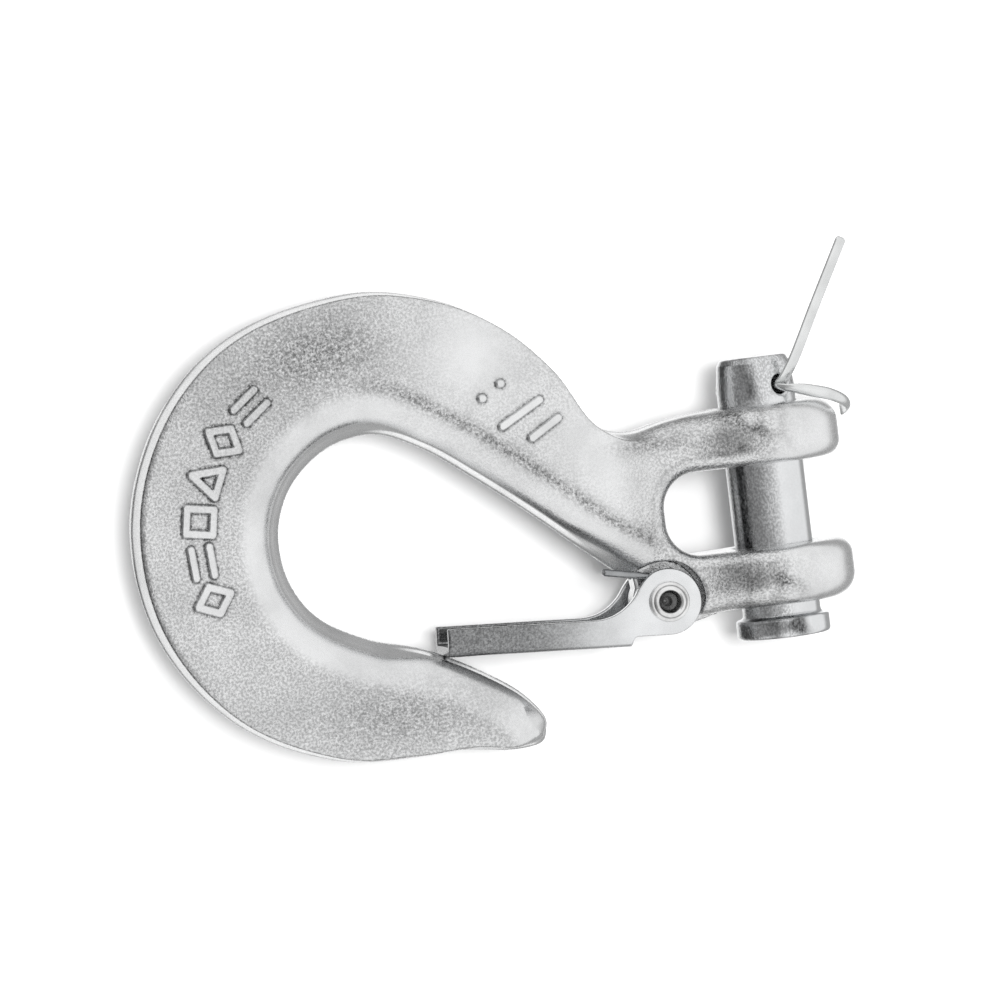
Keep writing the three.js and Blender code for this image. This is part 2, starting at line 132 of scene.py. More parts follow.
class Table:
    """A function of two coordinates kept on a fine grid and read with cubic interpolation."""

    def __init__(self, fn, low, high, step):
        self.low, self.step = np.array(low, float), step
        n = np.ceil((np.array(high) - self.low) / step).astype(int) + 1
        x = self.low[0] + step * np.arange(n[0])
        y = self.low[1] + step * np.arange(n[1])
        grid = np.stack(np.meshgrid(x, y, indexing="ij"), -1).reshape(-1, 2)
        self.v = fn(grid).reshape(n[0], n[1])

    def __call__(self, x, y):
        x, y = np.broadcast_arrays(x, y)
        fx = np.clip((x - self.low[0]) / self.step, 1, self.v.shape[0] - 2.001)
        fy = np.clip((y - self.low[1]) / self.step, 1, self.v.shape[1] - 2.001)
        ix, iy = fx.astype(int), fy.astype(int)
        wx, wy = cubic_weights(fx - ix), cubic_weights(fy - iy)
        total = np.zeros(x.shape)
        for i in range(4):
            for j in range(4):
                total += wx[i] * wy[j] * self.v[ix + i - 1, iy + j - 1]
        return total


def soft_min(a, b, k):
    h = np.clip(1 - np.abs(a - b) / k, 0, 1)
    return np.minimum(a, b) - h * h * k / 4


def soft_max(a, b, k):
    return -soft_min(-a, -b, k)


def round_both(a, b, r):
    """What is inside both a and b, with its edges rounded to radius r."""
    u, v = np.maximum(a + r, 0), np.maximum(b + r, 0)
    return np.minimum(np.maximum(a + r, b + r), 0) + np.hypot(u, v) - r


def smooth(e0, e1, x):
    """0 at e0 and 1 at e1, level at both ends."""
    t = np.clip((x - e0) / (e1 - e0), 0, 1)
    return t * t * (3 - 2 * t)


def bump(value, centre, width):
    """1 where value is centre, falling off over width."""
    return np.exp(-((value - centre) / width) ** 2)


def ripple(seed, size, count=14):
    """A smooth, seeded, uneven field from -1 to 1 whose bumps are about size mm across."""
    rng = np.random.default_rng(seed)
    waves = rng.normal(size=(count, 3))
    waves *= (rng.uniform(0.6, 1.5, count) * math.pi / size / np.linalg.norm(waves, axis=1))[:, None]
    phase = rng.uniform(0, 2 * math.pi, count)

    def field(x, y, z):
        total = 0
        for (a, b, c), f in zip(waves, phase):
            total = total + np.sin(a * x + b * y + c * z + f)
        return total / math.sqrt(count * 2)

    return field


# ---------------------------------------------------------------- meshing
def quads_across(solid, index, axis):
    """The quads of cell points round the grid edges along axis that have one end inside the solid."""
    u, v = (axis + 1) % 3, (axis + 2) % 3
    at = np.argwhere(np.diff(solid, axis=axis))
    last_u, last_v = solid.shape[u] - 1, solid.shape[v] - 1
    at = at[(at[:, u] > 0) & (at[:, v] > 0) & (at[:, u] < last_u) & (at[:, v] < last_v)]
    corners = []
    for du, dv in ((-1, -1), (0, -1), (0, 0), (-1, 0)):
        cell = at.copy()
        cell[:, u] += du
        cell[:, v] += dv
        corners.append(index[tuple(cell.T)])
    quads = np.stack(corners, 1)
    leaving = solid[tuple(at.T)]
    return np.where(leaving[:, None], quads, quads[:, ::-1])


def surface_nets(field, low, high, step):
    """One point in each grid cell that field = 0 passes through, and the quads between those points."""
    n = np.ceil((np.array(high) - np.array(low)) / step).astype(int) + 1
    x, y, z = [low[i] + step * np.arange(n[i]) for i in range(3)]
    values = field(x[:, None, None], y[None, :, None], z[None, None, :])
    solid = np.broadcast_to(values, tuple(n)) < 0
    inside_corners = np.zeros(tuple(n - 1), int)
    for corner in np.ndindex(2, 2, 2):
        inside_corners += solid[tuple(slice(c, m - 1 + c) for c, m in zip(corner, n))]
    active = (inside_corners > 0) & (inside_corners < 8)
    cells = np.argwhere(active)
    index = np.full(active.shape, -1)
    index[active] = np.arange(len(cells))
    faces = np.vstack([quads_across(solid, index, axis) for axis in range(3)])
    return np.array(low) + (cells + 0.5) * step, faces


def gradient(field, p, e):
    x, y, z = p.T
    return np.stack([
        field(x + e, y, z) - field(x - e, y, z),
        field(x, y + e, z) - field(x, y - e, z),
        field(x, y, z + e) - field(x, y, z - e),
    ], 1) / (2 * e)


def settle(field, p, rounds, limit, e):
    """Moves points onto field = 0, at most limit each round."""
    for _ in range(rounds):
        g = gradient(field, p, e)
        move = -field(*p.T)[:, None] * g / np.maximum((g * g).sum(1), 0.05)[:, None]
        length = np.linalg.norm(move, axis=1)
        p = p + move * np.minimum(1, limit / np.maximum(length, 1e-9))[:, None]
    return p


def evened(points, faces):
    """Each point halfway to the middle of its neighbours."""
    total, count = np.zeros_like(points), np.zeros(len(points))
    for i in range(4):
        for j in ((i + 1) % 4, (i + 3) % 4):
            np.add.at(total, faces[:, i], points[faces[:, j]])
            np.add.at(count, faces[:, i], 1)
    return points * 0.5 + total / count[:, None] * 0.5


def refined(points, faces, finer, cuts):
    """The mesh with the faces that finer picks cut into smaller ones."""
    mesh = bpy.data.meshes.new("nets")
    mesh.from_pydata(points.tolist(), [], faces.tolist())
    bm = bmesh.new()
    bm.from_mesh(mesh)
    bpy.data.meshes.remove(mesh)
    bm.faces.ensure_lookup_table()
    chosen = np.nonzero(finer(*points[faces].mean(1).T))[0]
    edges = {e for i in chosen for e in bm.faces[i].edges}
    edges = sorted(edges, key=lambda e: e.index)
    bmesh.ops.subdivide_edges(bm, edges=edges, cuts=cuts, use_grid_fill=True)
    bm.verts.index_update()
    points = np.array([v.co for v in bm.verts])
    faces = [tuple(v.index for v in f.verts) for f in bm.faces]
    bm.free()
    return points, faces


def surface(field, low, high, step, finer=None, cuts=2, reach=0.04):
    """Meshes field = 0 between the corners low and high: points, faces and unit normals. finer picks the
    faces to refine, and reach is the half step over which slopes are measured."""
    points, faces = surface_nets(field, low, high, step)
    points = settle(field, points, 4, 0.6 * step, reach)
    for _ in range(2):
        points = settle(field, evened(points, faces), 2, 0.6 * step, reach)
    if finer is None:
        faces = faces.tolist()
    else:
        points, faces = refined(points, faces, finer, cuts)
        points = settle(field, points, 3, 0.3 * step, reach)
    g = gradient(field, points, reach)
    return points, faces, g / np.maximum(np.linalg.norm(g, axis=1), 1e-9)[:, None]


def add_piece(name, points, faces, material, body, nodes, normals=None, zones=None):
    """A visible piece that rides on a CAD body and stands in for some of its nodes. zones are numbers on its
    points that its material reads."""
    mesh = bpy.data.meshes.new(name)
    mesh.from_pydata(((points + ORIGIN) * MM).tolist(), [], faces)
    mesh.update()
    mesh.shade_smooth()
    if normals is not None:
        mesh.normals_split_custom_set_from_vertices(normals.tolist())
    for zone, values in (zones or {}).items():
        attribute = mesh.attributes.new(zone, "FLOAT", "POINT")
        attribute.data.foreach_set("value", np.array(values, np.float32))
    mesh.materials.append(material)
    piece = bpy.data.objects.new(name, mesh)
    bpy.context.scene.collection.objects.link(piece)
    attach(piece, body)
    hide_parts(*nodes)
    return piece


# ---------------------------------------------------------------- materials
class Graph:
    """Short ways to add nodes to a material's or the world's node tree."""

    def __init__(self, tree):
        self.nodes, self.link = tree.nodes, tree.links.new

    def feed(self, socket, value):
        if isinstance(value, (int, float)):
            socket.default_value = value
        else:
            self.link(value, socket)

    def math(self, operation, *values):
        node = self.nodes.new("ShaderNodeMath")
        node.operation = operation
        for socket, value in zip(node.inputs, values):
            self.feed(socket, value)
        return node.outputs[0]

    def ramp(self, value, *stops):
        """A colour read from value. Each stop is a place from 0 to 1 and a grey level or a colour."""
        node = self.nodes.new("ShaderNodeValToRGB")
        elements = node.color_ramp.elements
        colours = [(v, v, v, 1) if isinstance(v, (int, float)) else (*v, 1) for _, v in stops]
        for i in (0, -1):
            elements[i].position, elements[i].color = stops[i][0], colours[i]
        for (at, _), colour in zip(stops[1:-1], colours[1:-1]):
            elements.new(at).color = colour
        self.link(value, node.inputs["Fac"])
        return node.outputs["Color"]

    def ramp_between(self, value, low, high, *stops):
        """A ramp whose stops are places between low and high."""
        span = self.nodes.new("ShaderNodeMapRange")
        span.inputs["From Min"].default_value = low
        span.inputs["From Max"].default_value = high
        self.link(value, span.inputs["Value"])
        return self.ramp(span.outputs["Result"], *[((at - low) / (high - low), v) for at, v in stops])

    def noise(self, place, size, detail, roughness):
        """Noise whose lumps are about size mm across."""
        node = self.nodes.new("ShaderNodeTexNoise")
        node.inputs["Scale"].default_value = 1 / (size * MM)
        node.inputs["Detail"].default_value = detail
        node.inputs["Roughness"].default_value = roughness
        self.link(place, node.inputs["Vector"])
        return node.outputs["Fac"]

    def multiply(self, factor, a, b):
        """Colour a times colour b, as far as factor says."""
        node = self.nodes.new("ShaderNodeMix")
        node.data_type, node.blend_type = "RGBA", "MULTIPLY"
        self.feed(node.inputs["Factor"], factor)
        self.link(a, node.inputs[6])
        self.link(b, node.inputs[7])
        return node.outputs[2]

    def zone(self, name):
        node = self.nodes.new("ShaderNodeAttribute")
        node.attribute_name = name
        return node.outputs["Fac"]


def zinc(name, tint, rough, grain, depth, fleck=0.0, stretch=(1, 1, 1), patch=6.0, dull=0.8, shade_tones=None):
    """Metal with a fine grain, grain mm across and depth mm deep, drawn out along stretch, and with patches
    patch mm across that are dull times as bright. fleck is how much darker the grain's hollows are. A piece
    given the last argument, a pair of brightnesses, has two zones on its points: coarse, where the grain
    shows, and a second zone of mostly painted shade and painted dark reflection, speckled between those
    brightnesses."""
    m = bpy.data.materials.new(name)
    m.use_nodes = True
    graph = Graph(m.node_tree)
    shader = graph.nodes["Principled BSDF"]
    shader.inputs["Metallic"].default_value = 1.0
    drawn = graph.nodes.new("ShaderNodeMapping")
    drawn.inputs["Scale"].default_value = stretch
    graph.link(graph.nodes.new("ShaderNodeTexCoord").outputs["Object"], drawn.inputs["Vector"])
    place = drawn.outputs["Vector"]
    fine = graph.noise(place, grain, 2.0, 0.6)

    patches = graph.noise(place, patch, 3.0, 0.55)
    tone = graph.ramp(patches, (0.36, tuple(c * dull for c in tint)), (0.62, tint))
    if fleck:
        speck = graph.ramp(fine, (0.40, 1 - fleck), (0.62, 1.0))
        tone = graph.multiply(graph.zone("coarse") if shade_tones else 1.0, tone, speck)
    # painted shade and painted dark reflection: the colour is darkened to a speckle between the two
    # brightnesses where the points' second zone says
    if shade_tones:
        painted_shade = graph.ramp(graph.noise(place, grain * 1.1, 4.0, 0.75), (0.40, shade_tones[0]), (0.60, shade_tones[1]))
        tone = graph.multiply(graph.zone("shade_and_stain"), tone, painted_shade)
    graph.link(tone, shader.inputs["Base Color"])
    graph.link(graph.ramp(fine, (0.3, rough - 0.05), (0.7, rough + 0.08)), shader.inputs["Roughness"])

    # the grain is deeper in some patches than in others
    amount = graph.ramp(graph.noise(place, patch * 0.8, 2.0, 0.5), (0.38, 0.4), (0.64, 1.0))
    if shade_tones:
        amount = graph.math("MULTIPLY", amount, graph.zone("coarse"))
    relief = graph.nodes.new("ShaderNodeBump")
    relief.inputs["Strength"].default_value = 1.0
    relief.inputs["Distance"].default_value = depth * MM
    graph.link(graph.math("MULTIPLY", fine, amount), relief.inputs["Height"])
    graph.link(relief.outputs["Normal"], shader.inputs["Normal"])
    return m


# the last pair given to some of these is the darkest and lightest speckle of their painted shade
forging = zinc("zinc_forging", (0.90, 0.905, 0.91), 0.25, 0.30, 0.11, fleck=0.40, dull=0.88,
               shade_tones=(0.16, 0.92))
bar = zinc("zinc_bar", (0.84, 0.85, 0.86), 0.13, 0.24, 0.06, fleck=0.35, stretch=(1, 0.7, 1), patch=5.0,
           dull=0.93, shade_tones=(0.03, 0.34))
wire_zinc = zinc("zinc_wire", (0.86, 0.87, 0.87), 0.24, 0.3, 0.015, patch=3.0, dull=0.9)
sheet = zinc("zinc_sheet", (0.88, 0.89, 0.90), 0.22, 0.26, 0.03, fleck=0.2, patch=4.0, dull=0.9,
             shade_tones=(0.16, 0.44))
rivet_zinc = zinc("zinc_rivet", (0.88, 0.88, 0.88), 0.20, 0.3, 0.02, patch=1.5, shade_tones=(0.05, 0.35))
spring_steel = zinc("spring_steel", (0.42, 0.43, 0.44), 0.28, 0.3, 0.02, patch=2.0)


# ---------------------------------------------------------------- hook body: outlines
SLOT_HALF, SLOT_END, SLOT_CORNER = 5.0, -13.9, 4.2  # half width, closed end and its corner radius
EYE_R, EAR_OUT = 9.4, 12.1  # the ears' round ends, and how far out they reach along the pin
EAR_IN_EDGE, EAR_OUT_EDGE = 2.0, 3.0  # edge radii on the slot's side and outside
PIN_BORE_R, PIN_BORE_EDGE = 4.84, 0.5
BODY_HALF, TIP_HALF, NECK_HALF = 6.0, 4.6, 5.7  # half thickness
BOWL_IN, BOWL_OUT = (-47.8, 2.0, 12.6), (-49.8, 3.2, 28.0)  # the bowl's circles: x, y and radius
RIVET = (-14.8, -10.0)  # the latch's pivot
RECESS = (-15.0, -9.75, 4.65)  # the circle that the latch's ears turn in, beside the lug
LUG_R, LUG_HALF, LUG_BORE_R = 3.7, 1.8, 1.9

inner_edge = catmull([
    (-30.5, -23.3), (-30.9, -21.9), (-33.3, -18.9), (-38.4, -15.3), (-44.4, -12.3),
    *on_arc(BOWL_IN, -105, -137, -165, -193, -220, -247), (-47.2, 14.3), (-41.8, 12.0), (-35.6, 7.5),
    (-29.1, 2.2), (-23.2, -3.0), (-17.9, -7.1), (-12.5, -9.2), (-4, -10),
])
outer_edge = catmull([
    (-30.5, -23.8), (-31.3, -24.9), (-35, -25.4), (-41, -24.7), (-47.4, -24.8),
    *on_arc(BOWL_OUT, -104, -132, -161, -189, -216, -242), (-48, 31.2), (-38.4, 29.4), (-30.6, 25.1),
    (-25.1, 19.3), (-20.8, 12.3), (-15.6, 9.6), (-10, 9.6), (-4, 9.6),
])
hook_outline = np.vstack([inner_edge, outer_edge[::-1]])
fork_top = catmull([
    (-25.5, 6.0), (-22, 8.0), (-19, 10.1), (-16.5, 10.5), (-12, 11.5), (-6, EAR_OUT), (0, EAR_OUT),
])
fork_foot = catmull([(-21.5, 2.0), (-18, -1.5), (-16.2, -6.5), (-12, -11.9), (-6, -EAR_OUT), (0, -EAR_OUT)])
fork_outline = np.vstack([fork_top, [(16, EAR_OUT), (16, -EAR_OUT)], fork_foot[::-1]])
recess_outline = np.vstack([
    [(-10.8, -13.3)], arc(*RECESS, -40, 141), [(-24, -9), (-24, -18), (-10.8, -18)],
])
lug_outline = np.vstack([
    [(-8, -12.3), (-11, -13)], arc(*RIVET, LUG_R, -60, -210), [(-18.2, -6.6), (-12, -3), (-6.5, -8)],
])
trim_outline = np.vstack([
    [(-11, -13)], arc(*RIVET, LUG_R, -60, -210), [(-18.4, -7), (-24, -9), (-24, -18), (-11, -18)],
])

PLAN_LOW, PLAN_HIGH, PLAN_STEP = (-79.5, -27.5), (12, 33), 0.2
FORK_LOW, CLEVIS_LOW, CLEVIS_HIGH = (-40, -27.5), (-30, -20), (12, 16)


def plan_table(fn, low=PLAN_LOW, high=PLAN_HIGH):
    return Table(fn, low, high, PLAN_STEP)


plan_inner = plan_table(lambda p: line_distance(p, inner_edge))
plan_outer = plan_table(lambda p: line_distance(p, outer_edge))
plan_hook = plan_table(lambda p: inside(p, hook_outline))
outside = ~plan_hook.v
inner_nearer = plan_inner.v < plan_outer.v
# the distance from each edge is negative outside, past the nearer edge; the whole hook's is positive there
plan_hook.v = np.minimum(plan_inner.v, plan_outer.v) * np.where(outside, 1, -1)
plan_inner.v = np.where(outside & inner_nearer, -plan_inner.v, plan_inner.v)
plan_outer.v = np.where(outside & ~inner_nearer, -plan_outer.v, plan_outer.v)
plan_fork = plan_table(lambda p: outline_distance(p, fork_outline), FORK_LOW, CLEVIS_HIGH)
plan_recess, plan_lug, plan_trim = [
    plan_table(lambda p: outline_distance(p, outline), CLEVIS_LOW, CLEVIS_HIGH)
    for outline in (recess_outline, lug_outline, trim_outline)
]

# ---------------------------------------------------------------- hook body: cross-section
BEVEL, SHANK_BEVEL = 5.6, 4.1  # width of the bevel round the hole, and along the shank
FOOT_CUT = 0.9  # how much of the bevel's steep foot is left out where thin_foot says
EDGE_WIDTH, EDGE_R = 1.15, 0.8  # the rounded outer edge
SECTION_LOW, SECTION_HIGH, SECTION_STEP = (-4, -0.2), (14, 12), 0.1

# how the height rises with the distance from the hole's edge, and from the outer edge
bevel_line = catmull([
    (0, 0), (0.35, 1.0), (0.75, 2.0), (1.1, 2.9), (1.45, 3.65), (2.1, 4.35), (3.1, 5.05), (4.2, 5.6),
    (5.1, 5.92), (BEVEL, BODY_HALF),
], 14)
round_line = np.vstack([
    [(0, 0), (0.1, 1.2), (0.25, 3.0)], arc(EDGE_WIDTH, BODY_HALF - EDGE_R, EDGE_R, 176, 92, 24),
    [(EDGE_WIDTH, BODY_HALF)],
])


def section_table(line):
    """Distance across the section from a line that starts at one edge and goes on level for a long way."""
    half = np.vstack([line, [(30.0, BODY_HALF)]])
    closed = np.vstack([half, half[::-1] * (1, -1)])
    return Table(lambda p: outline_distance(p, closed), SECTION_LOW, SECTION_HIGH, SECTION_STEP)


section_inner, section_outer = section_table(bevel_line), section_table(round_line)


def read_section(table, distance, height, scale, lift):
    """A section table, read no further out than it goes, at a distance from its edge that was drawn out by
    scale and at a height that was drawn out by lift."""
    distance = np.clip(distance, SECTION_LOW[0] + 0.2, SECTION_HIGH[0] - 0.3)
    height = np.minimum(height, SECTION_HIGH[1] - 0.5)
    return table(distance, height) / np.maximum(scale, lift)


def bevel_width(x, y):
    return BEVEL + (SHANK_BEVEL - BEVEL) * smooth(-52, -38, x) * smooth(-8, 2, y)


def thin_foot(x, y):
    """Share by which the bevel's steep foot is cut short: along the shank and at the tip."""
    return smooth(-50, -42, x) * np.maximum(smooth(2, 6, y + 0.25 * (x + 45)), smooth(-9, -12, y))


def hook_field(x, y, z):
    """The bowl, the shank and the tip, thinner towards the tip and where they are narrow."""
    d_in, d_out = plan_inner(x, y), plan_outer(x, y)
    width = np.maximum(d_in + d_out, 0.3)
    tip_half = TIP_HALF + (BODY_HALF - TIP_HALF) * smooth(-30.5, -46, x)
    half = np.where(y < -11, tip_half, BODY_HALF) * np.minimum(1, np.sqrt(width / 6))
    lift = BODY_HALF / half
    height = np.abs(z) * lift
    k_in = BEVEL / np.minimum(bevel_width(x, y), 0.6 * width)
    k_out = EDGE_WIDTH / np.minimum(EDGE_WIDTH, 0.35 * width)
    foot = FOOT_CUT * thin_foot(x, y) * smooth(0, 0.5, d_in)
    a = read_section(section_inner, d_in * k_in + foot, height, k_in, lift)
    b = read_section(section_outer, d_out * k_out, height, k_out, lift)
    blunt = 0.4 + 1.2 * smooth(-36, -31.5, x) * smooth(-9, -12, y)
    return np.maximum(soft_max(a, b, blunt), 0.8 * plan_hook(x, y))


# ---------------------------------------------------------------- hook body: raised marks
# plain shapes, bars and dots on the bowl and the shank, each drawn as strokes
BOWL_MARKS = [
    (128, "bars"), (142.5, "diamond"), (156.5, "triangle"),
    (170.5, "square"), (184, "bars"), (197, "diamond"),
]
MARK_CIRCLE_R, STROKE_HALF, MARK_HEIGHT = 20.6, 0.52, 0.58  # their circle about the bowl's outer centre
SHAPES = {
    "square": [(-1.5, -1.6), (1.5, -1.6), (1.5, 1.6), (-1.5, 1.6)],
    "diamond": [(0, -2.1), (1.7, 0), (0, 2.1), (-1.7, 0)],
    "triangle": [(-1.7, -1.5), (1.7, -1.5), (0, 1.9)],
}
BARS = [((-1.7, -1.1), (1.7, -1.1)), ((-1.7, 1.1), (1.7, 1.1))]
SHANK_MARKS = [
    ((-32.6, 13.4), (-27.8, 16.0)), ((-34.7, 17.0), (-34.6, 17.0)), ((-32.3, 18.5), (-32.2, 18.5)),
    ((-29.2, 11.6), (-25.8, 13.6)),
]


def strokes_of(kind):
    if kind == "bars":
        return BARS
    corners = SHAPES[kind]
    return list(zip(corners, corners[1:] + corners[:1]))


def bowl_strokes():
    """The bowl's marks, standing on a circle with their tops outwards."""
    for angle, kind in BOWL_MARKS:
        middle = np.array(on_arc((*BOWL_OUT[:2], MARK_CIRCLE_R), angle)[0])
        out = np.array([math.cos(math.radians(angle)), math.sin(math.radians(angle))])
        side = np.array([-out[1], out[0]])
        for ends in strokes_of(kind):
            yield [middle + out * q[1] + side * q[0] for q in ends]


mark_strokes = [*bowl_strokes(), *[[np.array(q) for q in ends] for ends in SHANK_MARKS]]


def marks_distance(p):
    return np.min([line_distance(p, stroke) for stroke in mark_strokes], axis=0) - STROKE_HALF


plan_marks = Table(marks_distance, (-79.5, -10), (-18, 30), 0.12)


def marked(x, y, z):
    """The part of the near face that plan_marks covers."""
    return (z > 3) & (x < -19) & (y > -9.5)


# ---------------------------------------------------------------- hook body: the whole forging
FLASH, FLASH_HALF = 0.14, 0.6  # the parting line's ridge
FORK_SINK = 1.5  # how far the block behind the ears sinks where it meets the shank
waves_broad, waves_mid = ripple(3, 7.0), ripple(5, 2.6, 20)


def slot_distance(x, y):
    dx, dy = SLOT_END + SLOT_CORNER - x, np.abs(y) - (SLOT_HALF - SLOT_CORNER)
    return np.minimum(np.maximum(dx, dy), 0) + np.hypot(np.maximum(dx, 0), np.maximum(dy, 0)) - SLOT_CORNER


def fork_field(x, y, z):
    """The ears, round about the pin, and the block behind them, which sinks into the shank."""
    eye = np.sqrt(x * x + z * z) - EYE_R
    block = np.maximum(np.abs(z) - NECK_HALF + FORK_SINK * smooth(-15, -22, x), x)
    return round_both(plan_fork(x, y), soft_min(eye, block, 3.4), EAR_OUT_EDGE)


def at_clevis(table, x, y):
    """A table that covers the clevis only, read as far away elsewhere."""
    return np.where((x > CLEVIS_LOW[0] + 1) & (y < CLEVIS_HIGH[1] - 1), table(x, y), 9.0)


def body_field(x, y, z):
    body = soft_min(hook_field(x, y, z), fork_field(x, y, z), 1.6)
    body = body + (0.05 * waves_broad(x, y, z) + 0.014 * waves_mid(x, y, z)) - FLASH * bump(z, 0, FLASH_HALF)
    recess = np.maximum(at_clevis(plan_recess, x, y), LUG_HALF - np.abs(z))
    body = round_both(body, -recess, 0.45)
    body = np.maximum(body, -at_clevis(plan_trim, x, y))
    body = np.minimum(body, round_both(at_clevis(plan_lug, x, y), np.abs(z) - LUG_HALF, 0.3))
    body = round_both(body, -slot_distance(x, y), EAR_IN_EDGE)
    pin_bore = np.where(x > -12, np.sqrt(x * x + z * z) - PIN_BORE_R, 9.0)
    body = round_both(body, -pin_bore, PIN_BORE_EDGE)
    lug_bore = np.hypot(x - RIVET[0], y - RIVET[1]) - LUG_BORE_R
    body = np.maximum(body, -lug_bore)
    raised = MARK_HEIGHT * smooth(0.14, -0.18, plan_marks(x, y))
    return body - np.where(marked(x, y, z), raised, 0)


def needs_detail(x, y, z):
    """The sides of the marks and of the latch's recess."""
    mark_side = marked(x, y, z) & (np.abs(plan_marks(x, y) + 0.02) < 0.45)
    recess_side = (np.abs(z) > 1.4) & (np.abs(plan_recess(x, y)) < 0.75)
    return mark_side | recess_side & (x > -22) & (x < -8) & (y < -3)


def forging_zones(points, normals):
    """coarse: the blasted grain, weaker on the bevel, on smooth spots, on the ears' ends and on the marks.
    The second zone: painted shade in the bevel's crease, painted dark reflections in patches on the bowl and
    on the ears' tops, painted shading lines at the slot's rim and beside the neck's upper edge, and painted
    shade round the marks' feet."""
    x, y, z = points.T
    spot = lambda cx, cy, rx, ry: bump(x, cx, rx) * bump(y, cy, ry)
    ears = lambda inner, outer: smooth(inner, outer, np.abs(y))
    share = np.where(x < -16, plan_inner(x, y), 20.0) / bevel_width(x, y)  # 1 at the bevel's upper edge
    to_mark = plan_marks(x, y)
    on_mark = marked(x, y, z)

    rough_bevel = 0.5 * smooth(-50, -42, x) * smooth(-6, 2, y + 0.6 * (x + 30)) * smooth(0.15, 0.35, share)
    coarse = np.maximum(smooth(0.7, 1.05, share), rough_bevel)
    coarse = coarse * (1 - 0.9 * spot(-35, 22.5, 8, 8)) * (1 - 0.85 * smooth(-2.5, 0.5, x))
    coarse = coarse - 0.6 * spot(-19, 4, 5, 6) - 0.7 * spot(-23, 11, 6, 6)
    coarse = np.clip(coarse + 0.7 * spot(-4.5, 0, 5.0, 40) * ears(5.5, 7), 0.1, 1)
    coarse = coarse * (0.3 + 0.7 * smooth(0.1, 0.5, np.abs(normals[:, 2])))
    coarse = coarse * (1 - 0.8 * on_mark * smooth(0.0, -0.3, to_mark))

    # painted shade along the bevel's crease on the shank, then painted dark reflections in patches on the
    # bowl
    painted_shade = 0.9 * bump(share, 1.06, 0.22) * smooth(-52, -42, x) * smooth(-9, -5, y)
    for strength, *place in ((0.85, -53.5, 24.8, 9.0, 4.8), (0.22, -63, 20, 8, 8), (0.5, -49, -19.5, 12, 4.0),
                             (0.14, -46, -19, 15, 6), (0.22, -68, 14, 6, 9)):
        painted_shade = painted_shade + strength * spot(*place)
    # painted dark reflections on the ears' tops, and painted shading lines at the slot's rim and beside the
    # neck's upper edge
    ear_and_rim_shade = spot(-3.2, 0, 3.6, 40) * ears(6.3, 8.0) * (0.35 + 1.3 * waves_mid(2 * x, 1.5 * y, z))
    ear_and_rim_shade = ear_and_rim_shade + 0.5 * bump(slot_distance(x, y), 1.75, 0.3) * (np.abs(z) > 4) * smooth(-2, -7, x)
    ear_and_rim_shade = ear_and_rim_shade + 0.8 * spot(-15, 9.0, 4.5, 1.0)
    # painted shade round the feet of the raised marks
    mark_foot_shade = 0.85 * bump(to_mark, 0.12, 0.16) * on_mark
    shade_and_stain = np.where(z > 0, painted_shade, 0.4 * painted_shade) + np.clip(ear_and_rim_shade, 0, 1) + mark_foot_shade
    return {"coarse": coarse, "shade_and_stain": np.clip(shade_and_stain, 0, 1)}


BODY_LOW, BODY_HIGH = (-79.2, -27.2, -10.2), (10.6, 32.6, 10.2)
body_points, body_faces, body_normals = surface(
    body_field, BODY_LOW, BODY_HIGH, 0.37, needs_detail)
add_piece("hook_forging", body_points, body_faces, forging, "hook", ["hook_body"],
          body_normals, forging_zones(body_points, body_normals))


# ---------------------------------------------------------------- clevis pin
PIN_R, PIN_TIP_R, PIN_TIP, PIN_TAPER = 4.75, 4.2, 17.9, 14.6  # radii, the end, and where it starts to taper
HEAD_R, HEAD_IN, HEAD_OUT = 5.7, -13.8, -PIN_HEAD_END
HEAD_OUT_EDGE, HEAD_IN_EDGE, NECK_FILLET, TIP_EDGE = 0.55, 0.35, 0.6, 0.45
HOLE_R, HOLE_Y, HOLE_TURN = 1.15, 14.3, math.radians(28)  # the cotter's cross hole
INWARD = -8  # the outline is closed well past the axis

pin_outline = np.vstack([
    [(INWARD, HEAD_OUT)],
    arc(HEAD_R - HEAD_OUT_EDGE, HEAD_OUT + HEAD_OUT_EDGE, HEAD_OUT_EDGE, -90, 0, 8),
    arc(HEAD_R - HEAD_IN_EDGE, HEAD_IN - HEAD_IN_EDGE, HEAD_IN_EDGE, 0, 90, 8),
    arc(PIN_R + NECK_FILLET, HEAD_IN + NECK_FILLET, NECK_FILLET, 270, 180, 8),
    [(PIN_R, PIN_TAPER - 0.6), (PIN_R - 0.03, PIN_TAPER), (PIN_TIP_R + 0.22, PIN_TIP - 0.75)],
    arc(PIN_TIP_R - TIP_EDGE, PIN_TIP - TIP_EDGE, TIP_EDGE, 20, 90, 8),
    [(INWARD, PIN_TIP)],
])
pin_table = Table(lambda p: outline_distance(p, pin_outline), (-0.6, -17.5), (8.6, 19.5), 0.08)
drawn_lines = ripple(11, 1.1, 24)


def from_hole(x, y, z):
    """Distance from the cross hole's axis."""
    return np.hypot(x * math.cos(HOLE_TURN) - z * math.sin(HOLE_TURN), y - HOLE_Y)


def pin_field(x, y, z):
    pin = pin_table(np.sqrt(x * x + z * z), y) + 0.006 * drawn_lines(x, 0.06 * y, z)
    return round_both(pin, HOLE_R - from_hole(x, y, z), 0.35)


def pin_detail(x, y, z):
    return (from_hole(x, y, z) < 1.9) | (y > PIN_TIP - 1.1)


